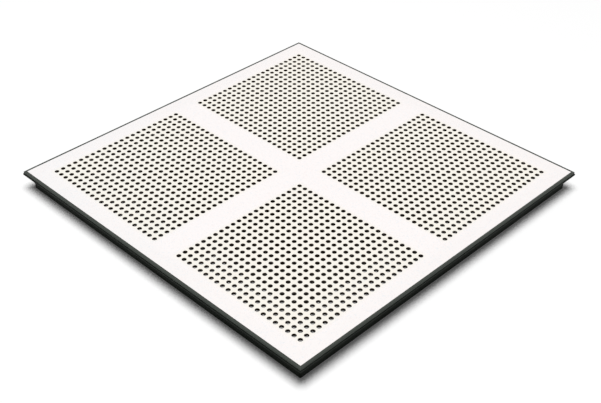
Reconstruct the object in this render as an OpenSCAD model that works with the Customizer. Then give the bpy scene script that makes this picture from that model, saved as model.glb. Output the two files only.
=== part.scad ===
// Perforated tile for a raised access floor, on the 600 mm grid.
// A drilled laminate face is bonded to a punched steel sheet. The sheet is welded on a frame
// of folded rails, stiffened by a cross of folded channels under the plain bands. Four mitred
// strips close the edge, and the rails' flange, a little wider, rests on the stringers.
// Axes: X and Y along the sides, Z up, origin under the middle on the plane of the rails' feet.

/* [Tile] */
// side of the square tile over the rails' flanges
tile_side = 600; // [450:5:650]
// overhang of the flanges outside the rails' walls
lip_w = 10; // [7:0.5:14]
// the edge strips stand this far inside the flanges' edges
strip_set = 1; // [0.5:0.1:2]

/* [Face and sheet] */
// thickness of the laminate face
face_t = 1.5; // [1:0.1:2]
// thickness of the steel sheet
sheet_t = 2.5; // [2:0.1:4]
// width of the edge strips seen from above
strip_w = 4; // [3:0.25:5]
// radius of the edge strips' top corners
strip_r = 1; // [0.5:0.1:1.4]

/* [Perforation] */
// diameter of a hole
hole_d = 7; // [6:0.25:8]
// pitch of the holes along a row and between rows
hole_pitch = 11.25; // [11:0.05:16]
// width of the plain cross bands, from hole edge to hole edge
band_w = 46; // [45:0.5:60]
// least distance from a hole's edge to a rail's foot, seen from above
hole_clear = 5; // [3:0.5:10]
// punching leaves each field this much lower than the bands round it
field_set = 0.05; // [0.02:0.01:0.2]
// flat land between a field's outer holes and the edge of its set
field_land = 1; // [0.5:0.1:1.5]

/* [Frame] */
// height of the rails, from their feet to the top of their flanges
rail_h = 27; // [20:0.5:40]
// width of the rails' feet, folded in under the tile
foot_w = 18; // [10:0.5:20]
// thickness of the folded steel
fold_t = 2; // [1.5:0.1:2.5]
// inside radius of every fold
fold_r = 1; // [0.5:0.1:2]
// radius ground on the frame's upright corners
corner_r = 4; // [2:0.1:4]

/* [Cross] */
// height of the cross channels, hung from the sheet
cross_h = 22; // [12:0.5:24]
// width of the cross channels over their flanges
cross_w = 42; // [36:0.5:43]
// width of the cross channels' hats
hat_w = 26; // [16:0.5:28]

/* [Hidden] */
$fn = 48;

sheet_z = rail_h;                       // underside of the steel sheet
face_z = sheet_z + sheet_t;             // underside of the laminate
top_z = face_z + face_t;                // walking face
strip_side = tile_side - 2 * strip_set; // side over the edge strips
face_side = strip_side - 2 * strip_w;   // side of laminate and sheet between the strips
frame_side = tile_side - 2 * lip_w;     // side over the rails' walls
inner_side = frame_side - 2 * fold_t;   // side inside the rails' walls
fold_out = fold_r + fold_t;             // outside radius of every fold
first_row = (band_w + hole_d) / 2;      // centre line to the first row of holes
row_room = frame_side / 2 - foot_w - hole_clear - hole_d / 2 - first_row;
row_n = floor(row_room / hole_pitch) + 1;
run = (row_n - 1) * hole_pitch;         // first row to last row of a field
field_side = run + hole_d + 2 * field_land;
field_mid = first_row + run / 2;
cut = 1;                                // how far a cutting solid runs past a face

white = [0.95, 0.94, 0.93];
black = [0.09, 0.10, 0.10];
coated = [0.13, 0.14, 0.14];

// Square with its middle at the origin and round corners.
module rounded(side, r) {
  square([side - 2 * r, side], center = true);
  square([side, side - 2 * r], center = true);
  for (x = [-1, 1], y = [-1, 1]) translate([x * (side / 2 - r), y * (side / 2 - r)]) circle(r);
}

// Puts a copy at the middle of each of the four fields.
module at_fields() {
  for (x = [-1, 1], y = [-1, 1]) translate([x * field_mid, y * field_mid]) children();
}

// One field: a square land with its grid of holes.
module field(t) {
  linear_extrude(height = t) difference() {
    square(field_side, center = true);
    for (x = [0 : row_n - 1], y = [0 : row_n - 1])
      translate([x * hole_pitch - run / 2, y * hole_pitch - run / 2]) circle(d = hole_d);
  }
}

// A plain sheet with the four perforated fields set slightly low in it.
module perforated(t) {
  linear_extrude(height = t) difference() {
    square(face_side, center = true);
    at_fields() square(field_side, center = true);
  }
  translate([0, 0, -field_set]) at_fields() field(t);
}

// Keeps what lies on the front side between the two diagonals, and turns it to its side.
module mitred(turn) {
  reach = tile_side / 2 + cut;
  rotate(turn) intersection() {
    children();
    translate([0, 0, -cut]) linear_extrude(height = top_z + 2 * cut)
      polygon([[0, 0], [-reach, -reach], [reach, -reach]]);
  }
}

// Runs a section along X for a length, its own X turned to the front and its Y turned up.
module along(length) {
  translate([-length / 2, 0, 0]) rotate([90, 0, 90]) linear_extrude(height = length)
    mirror([1, 0]) children();
}

// Quarter ring of a fold, in the corner between +X and +Y before it is turned.
module fold(turn) {
  rotate(turn) intersection() {
    difference() {
      circle(fold_out);
      circle(fold_r);
    }
    square(fold_out + cut);
  }
}

// Folded section: foot inwards, wall with its outer face on X = 0, lip outwards at the top.
module folded(foot, h, lip) {
  translate([-foot, 0]) square([foot - fold_out, fold_t]);
  translate([-fold_out, fold_out]) fold(-90);
  translate([-fold_t, fold_out]) square([fold_t, h - 2 * fold_out]);
  translate([fold_r, h - fold_out]) fold(90);
  translate([fold_r, h - fold_t]) square([lip - fold_r, fold_t]);
}

// Hat section: two folded halves, foot to foot.
module hat() {
  for (m = [0, 1]) mirror([m, 0])
    translate([hat_w / 2, 0]) folded(hat_w / 2, cross_h, (cross_w - hat_w) / 2);
}

// Strip's section, on the flange and beside the laminate, with round top corners.
module strip_section() {
  square([strip_w, top_z - sheet_z - strip_r]);
  translate([strip_r, 0]) square([strip_w - 2 * strip_r, top_z - sheet_z]);
  for (x = [strip_r, strip_w - strip_r]) translate([x, top_z - sheet_z - strip_r]) circle(strip_r);
}

module face_laminate() {
  color(white) translate([0, 0, face_z]) perforated(face_t);
}

module top_sheet() {
  color(coated) translate([0, 0, sheet_z]) perforated(sheet_t);
}

module edge_strip(turn) {
  color(black) mitred(turn) translate([0, -face_side / 2, sheet_z]) along(tile_side) strip_section();
}

// Rail of the frame, mitred at its ends, with the frame's upright corners ground round.
module frame_rail(turn) {
  ground_h = rail_h - fold_t - fold_r;
  color(coated) mitred(turn) intersection() {
    translate([0, -frame_side / 2, 0]) along(tile_side) folded(foot_w, rail_h, lip_w);
    union() {
      linear_extrude(height = ground_h) rounded(frame_side, corner_r);
      translate([0, 0, ground_h]) linear_extrude(height = rail_h - ground_h)
        square(tile_side, center = true);
    }
  }
}

// Channel from the long cross channel's flange to the middle of a rail.
module cross_channel_short(turn) {
  length = (inner_side - cross_w) / 2;
  color(coated) rotate(turn) translate([(inner_side - length) / 2, 0, sheet_z - cross_h])
    along(length) hat();
}

module edge_strip_front() edge_strip(0);
module edge_strip_right() edge_strip(90);
module edge_strip_back() edge_strip(180);
module edge_strip_left() edge_strip(270);
module frame_rail_front() frame_rail(0);
module frame_rail_right() frame_rail(90);
module frame_rail_back() frame_rail(180);
module frame_rail_left() frame_rail(270);

module cross_channel_long() {
  color(coated) translate([0, 0, sheet_z - cross_h]) along(inner_side) hat();
}

module cross_channel_front() cross_channel_short(270);
module cross_channel_back() cross_channel_short(90);

face_laminate();
top_sheet();
edge_strip_front();
edge_strip_back();
edge_strip_left();
edge_strip_right();
frame_rail_front();
frame_rail_back();
frame_rail_left();
frame_rail_right();
cross_channel_long();
cross_channel_front();
cross_channel_back();
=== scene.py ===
import bpy
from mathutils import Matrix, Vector


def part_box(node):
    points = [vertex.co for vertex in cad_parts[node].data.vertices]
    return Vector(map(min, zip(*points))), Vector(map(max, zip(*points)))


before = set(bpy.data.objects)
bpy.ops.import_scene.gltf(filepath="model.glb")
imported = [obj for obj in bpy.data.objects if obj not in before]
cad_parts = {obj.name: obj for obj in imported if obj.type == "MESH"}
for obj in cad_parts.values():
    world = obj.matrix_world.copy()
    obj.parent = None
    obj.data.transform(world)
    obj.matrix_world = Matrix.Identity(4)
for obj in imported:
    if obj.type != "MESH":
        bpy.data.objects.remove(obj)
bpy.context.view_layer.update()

bpy.ops.object.select_all(action="DESELECT")

# ---------------------------------------------------------------- laminate face
# High-pressure laminate: a white decor paper with faint chips, pressed over a brown kraft
# core, bonded to the steel sheet and drilled with it. The drilled fields are tinted a little
# cream, and the margin round them is a shade duller.
decor_white = (0.957, 0.913, 0.905, 1)
chip_blue = (0.80, 0.84, 0.88, 1)
chip_rose = (0.92, 0.82, 0.80, 1)
chips_per_metre = 620.0
chip_from, chip_full = 0.90, 0.93       # a cell whose random tone is higher than this is a chip
blue_strength = 0.5
rose_strength = 0.4

# The drilled fields are tinted a little cream.
field_cream_tint = (0.965, 0.970, 0.895, 1)
margin_tint = (0.975, 0.980, 0.978, 1)
cool_tint = (0.975, 0.992, 1.000, 1)
inner_row = 0.0265                      # from the tile's middle lines to the nearest row of holes
outer_row = 0.26275                     # and to the furthest row
field_tint_reach = 0.009
cool_from, cool_full = 0.1, 0.6         # how far towards the back left corner the cool tint comes in
cool_waver = 0.1
cool_lumps = 9.0

core_light = (0.160, 0.095, 0.045, 1)
core_dark = (0.075, 0.042, 0.020, 1)
core_layers_per_metre = 5200.0
core_layer_stretch = (0.02, 0.02, 1)
decor_depth = 0.0002
field_set = 0.00005                     # the drilled fields lie this much lower than the bands

face_sheen_lumps = 90.0
face_roughness = (0.36, 0.46)
face_texture_lumps = 1500.0
face_texture_depth = 0.00002
noise_low, noise_high = 0.3, 0.7        # soft noise seldom leaves this range


def start_finish(name):
    """A new material, its node tree, and the one shader that it starts with."""
    material = bpy.data.materials.new(name)
    material.use_nodes = True
    return material, material.node_tree, material.node_tree.nodes["Principled BSDF"]


def add_node(tree, kind, inputs=(), **settings):
    """Adds a node with its settings. An input takes a number, a colour or another socket."""
    made = tree.nodes.new("ShaderNode" + kind)
    for name, value in settings.items():
        setattr(made, name, value)
    for name, value in dict(inputs).items():
        if isinstance(value, bpy.types.NodeSocket):
            tree.links.new(value, made.inputs[name])
        else:
            made.inputs[name].default_value = value
    return made


def place(tree, stretch=(1, 1, 1)):
    """The point on the piece in metres, stretched along each axis."""
    point = add_node(tree, "TexCoord").outputs["Object"]
    return add_node(tree, "Mapping", {"Vector": point, "Scale": stretch}).outputs["Vector"]


def place_axes(tree):
    """The point on the piece in metres, as its X, Y and Z."""
    return add_node(tree, "SeparateXYZ", {"Vector": place(tree)}).outputs


def grain(tree, lumps, stretch=(1, 1, 1), detail=2.0):
    """Soft noise from 0 to 1, with this many lumps to the metre."""
    settings = {"Vector": place(tree, stretch), "Scale": lumps, "Detail": detail}
    return add_node(tree, "TexNoise", settings).outputs["Fac"]


def maths(tree, operation, first, second=0.0):
    """The result of one sum."""
    return add_node(tree, "Math", {0: first, 1: second}, operation=operation).outputs[0]


def spread(tree, value, low, high, to_low=0.0, to_high=1.0):
    """Maps a value's range from low to high on another range, and holds it inside that."""
    made = add_node(tree, "MapRange", {"Value": value, "From Min": low, "From Max": high,
                                       "To Min": to_low, "To Max": to_high})
    return made.outputs["Result"]


def spread_noise(tree, noise, to_low=0.0, to_high=1.0):
    """Spreads soft noise over the whole of another range."""
    return spread(tree, noise, noise_low, noise_high, to_low, to_high)


def mix_colours(tree, share, first, second, way="MIX"):
    """First colour where share is 0. Second, or first times second, where it is 1."""
    made = add_node(tree, "Mix", {0: share, 6: first, 7: second}, data_type="RGBA", blend_type=way)
    return made.outputs[2]


def tint(tree, share, colour, by):
    """The colour multiplied by another where share is 1."""
    return mix_colours(tree, share, colour, by, "MULTIPLY")


def finish_skin(tree, shader, colour, roughness, height, depth):
    """Joins the colour, the roughness and a bump of this depth in metres to the shader."""
    bump = add_node(tree, "Bump", {"Height": height, "Distance": depth, "Strength": 1.0})
    tree.links.new(colour, shader.inputs["Base Color"])
    tree.links.new(roughness, shader.inputs["Roughness"])
    tree.links.new(bump.outputs["Normal"], shader.inputs["Normal"])


def dress(names, material):
    """Gives CAD nodes their finish."""
    for name in names:
        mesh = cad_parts[name].data
        mesh.materials.clear()
        mesh.materials.append(material)


laminate, tree, shader = start_finish("laminate")
face_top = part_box("face_laminate")[1].z
point = place_axes(tree)
off_x = maths(tree, "ABSOLUTE", point["X"])
off_y = maths(tree, "ABSOLUTE", point["Y"])
nearest = maths(tree, "MINIMUM", off_x, off_y)
furthest = maths(tree, "MAXIMUM", off_x, off_y)

chips = add_node(tree, "TexVoronoi", {"Vector": place(tree), "Scale": chips_per_metre})
tone = add_node(tree, "SeparateColor", {"Color": chips.outputs["Color"]}).outputs
blue_share = spread(tree, tone["Red"], chip_from, chip_full, 0.0, blue_strength)
rose_share = spread(tree, tone["Green"], chip_from, chip_full, 0.0, rose_strength)
decor = mix_colours(tree, blue_share, decor_white, chip_blue)
decor = mix_colours(tree, rose_share, decor, chip_rose)

past_inner_row = spread(tree, nearest, inner_row - field_tint_reach, inner_row)
within_outer_row = spread(tree, furthest, outer_row + field_tint_reach, outer_row)
decor = tint(tree, maths(tree, "MULTIPLY", past_inner_row, within_outer_row), decor, field_cream_tint)
decor = tint(tree, spread(tree, furthest, outer_row, outer_row + 2 * field_tint_reach), decor, margin_tint)
drift = maths(tree, "SUBTRACT", point["Y"], point["X"])
waver = spread_noise(tree, grain(tree, cool_lumps), -cool_waver, cool_waver)
drift = maths(tree, "ADD", drift, waver)
decor = tint(tree, spread(tree, drift, cool_from, cool_full), decor, cool_tint)

core = mix_colours(tree, grain(tree, core_layers_per_metre, core_layer_stretch), core_dark, core_light)
decor_floor = face_top - decor_depth
decor_share = spread(tree, point["Z"], decor_floor - field_set, decor_floor)
finish_skin(tree, shader, mix_colours(tree, decor_share, core, decor),
            spread_noise(tree, grain(tree, face_sheen_lumps), *face_roughness),
            grain(tree, face_texture_lumps, detail=3.0), face_texture_depth)
dress(["face_laminate"], laminate)

# ---------------------------------------------------------------- steel sheet
# The sheet under the laminate is cold-rolled steel, punched with the same holes and dipped
# in black primer. It shows as the lower part of every hole, and from below.
primer_dark = (0.010, 0.008, 0.006, 1)
primer_light = (0.024, 0.020, 0.015, 1)
primer_clouds = 14.0
primer_cloud_range = (0.35, 0.65)
rolling_lines = 260.0
rolling_stretch = (0.12, 1, 1)
primer_roughness = (0.48, 0.62)
primer_texture_lumps = 1100.0
primer_texture_depth = 0.00003

primer, tree, shader = start_finish("sheet_primer")
cloud = spread(tree, grain(tree, primer_clouds, detail=4.0), *primer_cloud_range)
rolled = grain(tree, rolling_lines, rolling_stretch, detail=4.0)
finish_skin(tree, shader, mix_colours(tree, cloud, primer_dark, primer_light),
            spread_noise(tree, rolled, *primer_roughness),
            grain(tree, primer_texture_lumps), primer_texture_depth)
dress(["top_sheet"], primer)

# ---------------------------------------------------------------- edge strips
# Four black plastic strips are extruded, mitred and glued round the laminate and the sheet.
# The die leaves fine lines along each strip.
strip_dark = (0.034, 0.041, 0.034, 1)
strip_light = (0.052, 0.061, 0.052, 1)
die_lines = 3200.0
die_stretch = 0.004
strip_roughness = (0.34, 0.48)
die_line_depth = 0.00001

strip_plastic, tree, shader = start_finish("strip_plastic")
shader.inputs["Specular IOR Level"].default_value = 0.18
point = place_axes(tree)
runs_in_y = maths(tree, "GREATER_THAN", maths(tree, "ABSOLUTE", point["X"]),
                  maths(tree, "ABSOLUTE", point["Y"]))
lines_in_x = grain(tree, die_lines, (die_stretch, 1, 1))
lines_in_y = grain(tree, die_lines, (1, die_stretch, 1))
lines = add_node(tree, "Mix", {0: runs_in_y, 2: lines_in_x, 3: lines_in_y}).outputs[0]
finish_skin(tree, shader, mix_colours(tree, lines, strip_dark, strip_light),
            spread_noise(tree, lines, *strip_roughness), lines, die_line_depth)
dress(["edge_strip_front", "edge_strip_right", "edge_strip_back", "edge_strip_left"], strip_plastic)

# ---------------------------------------------------------------- frame rails
# Four steel rails are folded to a Z, with the foot turned in and the lip turned out, mitred
# and welded to a square. The whole frame is powder coated black, with a fine orange peel.
coat_dark = (0.003, 0.005, 0.003, 1)
coat_light = (0.007, 0.010, 0.007, 1)
coat_clouds = 22.0
coat_sheen_lumps = 320.0
coat_roughness = (0.40, 0.54)
orange_peel_lumps = 620.0
orange_peel_depth = 0.00005

powder, tree, shader = start_finish("powder_coat")
shader.inputs["Specular IOR Level"].default_value = 0.06
cloud = spread_noise(tree, grain(tree, coat_clouds, detail=5.0))
finish_skin(tree, shader, mix_colours(tree, cloud, coat_dark, coat_light),
            spread_noise(tree, grain(tree, coat_sheen_lumps), *coat_roughness),
            grain(tree, orange_peel_lumps, detail=1.5), orange_peel_depth)
dress(["frame_rail_front", "frame_rail_right", "frame_rail_back", "frame_rail_left"], powder)

# ---------------------------------------------------------------- cross channels
# Three channels of the same folded steel cross under the plain bands, crown down, with
# their flanges against the sheet. They are coated with the rails.
dress(["cross_channel_long", "cross_channel_front", "cross_channel_back"], powder)

# ---------------------------------------------------------------- floor and painted shade
# A pale floor carries the tile. A dark sheet of painted shade lies on it inside the frame, so
# that the holes read dark from above, and ends short of the two near sides, where the floor shows.
floor_side = 12.0
floor_white = (0.96, 0.96, 0.96, 1)
floor_lift = 0.05
# The dark sheet's colours are painted shade, standing in for the shade under the tile.
shade_sheet_dark = (0.04, 0.03, 0.02, 1)
shade_sheet_light = (0.07, 0.055, 0.035, 1)
shade_sheet_mottle_lumps = 700.0
shade_sheet_height = 0.0004
shade_sheet_inset = 0.020                      # inside the two far rails
shade_sheet_set_back = 0.088                   # inside the two near rails


def lay_sheet(name, side, middle, height, finish):
    """A square sheet, laid flat, and the matt material on it, which has no gloss."""
    bpy.ops.mesh.primitive_plane_add(size=side, location=(middle, middle, height))
    sheet = bpy.context.object
    sheet.name = name
    material, tree, shader = start_finish(finish)
    shader.inputs["Roughness"].default_value = 1.0
    shader.inputs["Specular IOR Level"].default_value = 0.0
    sheet.data.materials.append(material)
    return sheet, tree, shader


def seen_share(tree):
    """1 for a ray that the camera sees, directly, in gloss or through glass. 0 for the rest."""
    path = add_node(tree, "LightPath").outputs
    seen = maths(tree, "MAXIMUM", path["Is Camera Ray"], path["Is Glossy Ray"])
    return maths(tree, "MAXIMUM", seen, path["Is Transmission Ray"])


floor, tree, shader = lay_sheet("floor", floor_side, 0, 0, "pale_floor")
shader.inputs["Base Color"].default_value = floor_white
shader.inputs["Emission Color"].default_value = (1, 1, 1, 1)
lift = spread(tree, seen_share(tree), 0, 1, 0, floor_lift)
tree.links.new(lift, shader.inputs["Emission Strength"])

bay_low, bay_high = (corner.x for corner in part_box("cross_channel_long"))
shade_sheet_from = bay_low + shade_sheet_set_back
shade_sheet_to = bay_high - shade_sheet_inset
# A dark sheet of painted shade under the holes, inside the frame.
shade_sheet, tree, shader = lay_sheet("painted_shade_sheet", shade_sheet_to - shade_sheet_from, (shade_sheet_from + shade_sheet_to) / 2,
                               shade_sheet_height, "painted_shade_finish")
shade_sheet_mottle = grain(tree, shade_sheet_mottle_lumps, detail=3.0)
tree.links.new(mix_colours(tree, shade_sheet_mottle, shade_sheet_dark, shade_sheet_light), shader.inputs["Base Color"])

# ---------------------------------------------------------------- light and camera
# One broad soft lamp hangs almost overhead, and a plain white room fills in a little. The
# camera looks down on one corner of the tile, with two sides running away from it.
key_power = 500.0
key_distance = 7.0
key_size = 5.2
toward_key = Vector((-0.08, -0.03, 1.0)).normalized()
room_level = 0.12
camera_lens = 64.19
camera_place = (-0.96283, -0.95258, 0.96456)
camera_turn = (0.939456, -0.004026, -0.789096)

world = bpy.data.worlds.new("room")
world.use_nodes = True
bpy.context.scene.world = world
background = world.node_tree.nodes["Background"]
background.inputs["Color"].default_value = (1, 1, 1, 1)
level = spread(world.node_tree, seen_share(world.node_tree), 0, 1, room_level, 1.0)
world.node_tree.links.new(level, background.inputs["Strength"])

key_data = bpy.data.lights.new("key", "AREA")
key_data.shape = "DISK"
key_data.size = key_size
key_data.energy = key_power
key = bpy.data.objects.new("key", key_data)
key.location = toward_key * key_distance
key.rotation_euler = toward_key.to_track_quat("Z", "Y").to_euler()
bpy.context.scene.collection.objects.link(key)

camera_data = bpy.data.cameras.new("camera")
camera_data.sensor_fit = "HORIZONTAL"
camera_data.sensor_width = 36.0
camera_data.lens = camera_lens
camera_data.clip_end = 100.0
camera = bpy.data.objects.new("camera", camera_data)
camera.location = camera_place
camera.rotation_euler = camera_turn
bpy.context.scene.collection.objects.link(camera)
bpy.context.scene.camera = camera
bpy.context.scene.view_settings.view_transform = "Standard"
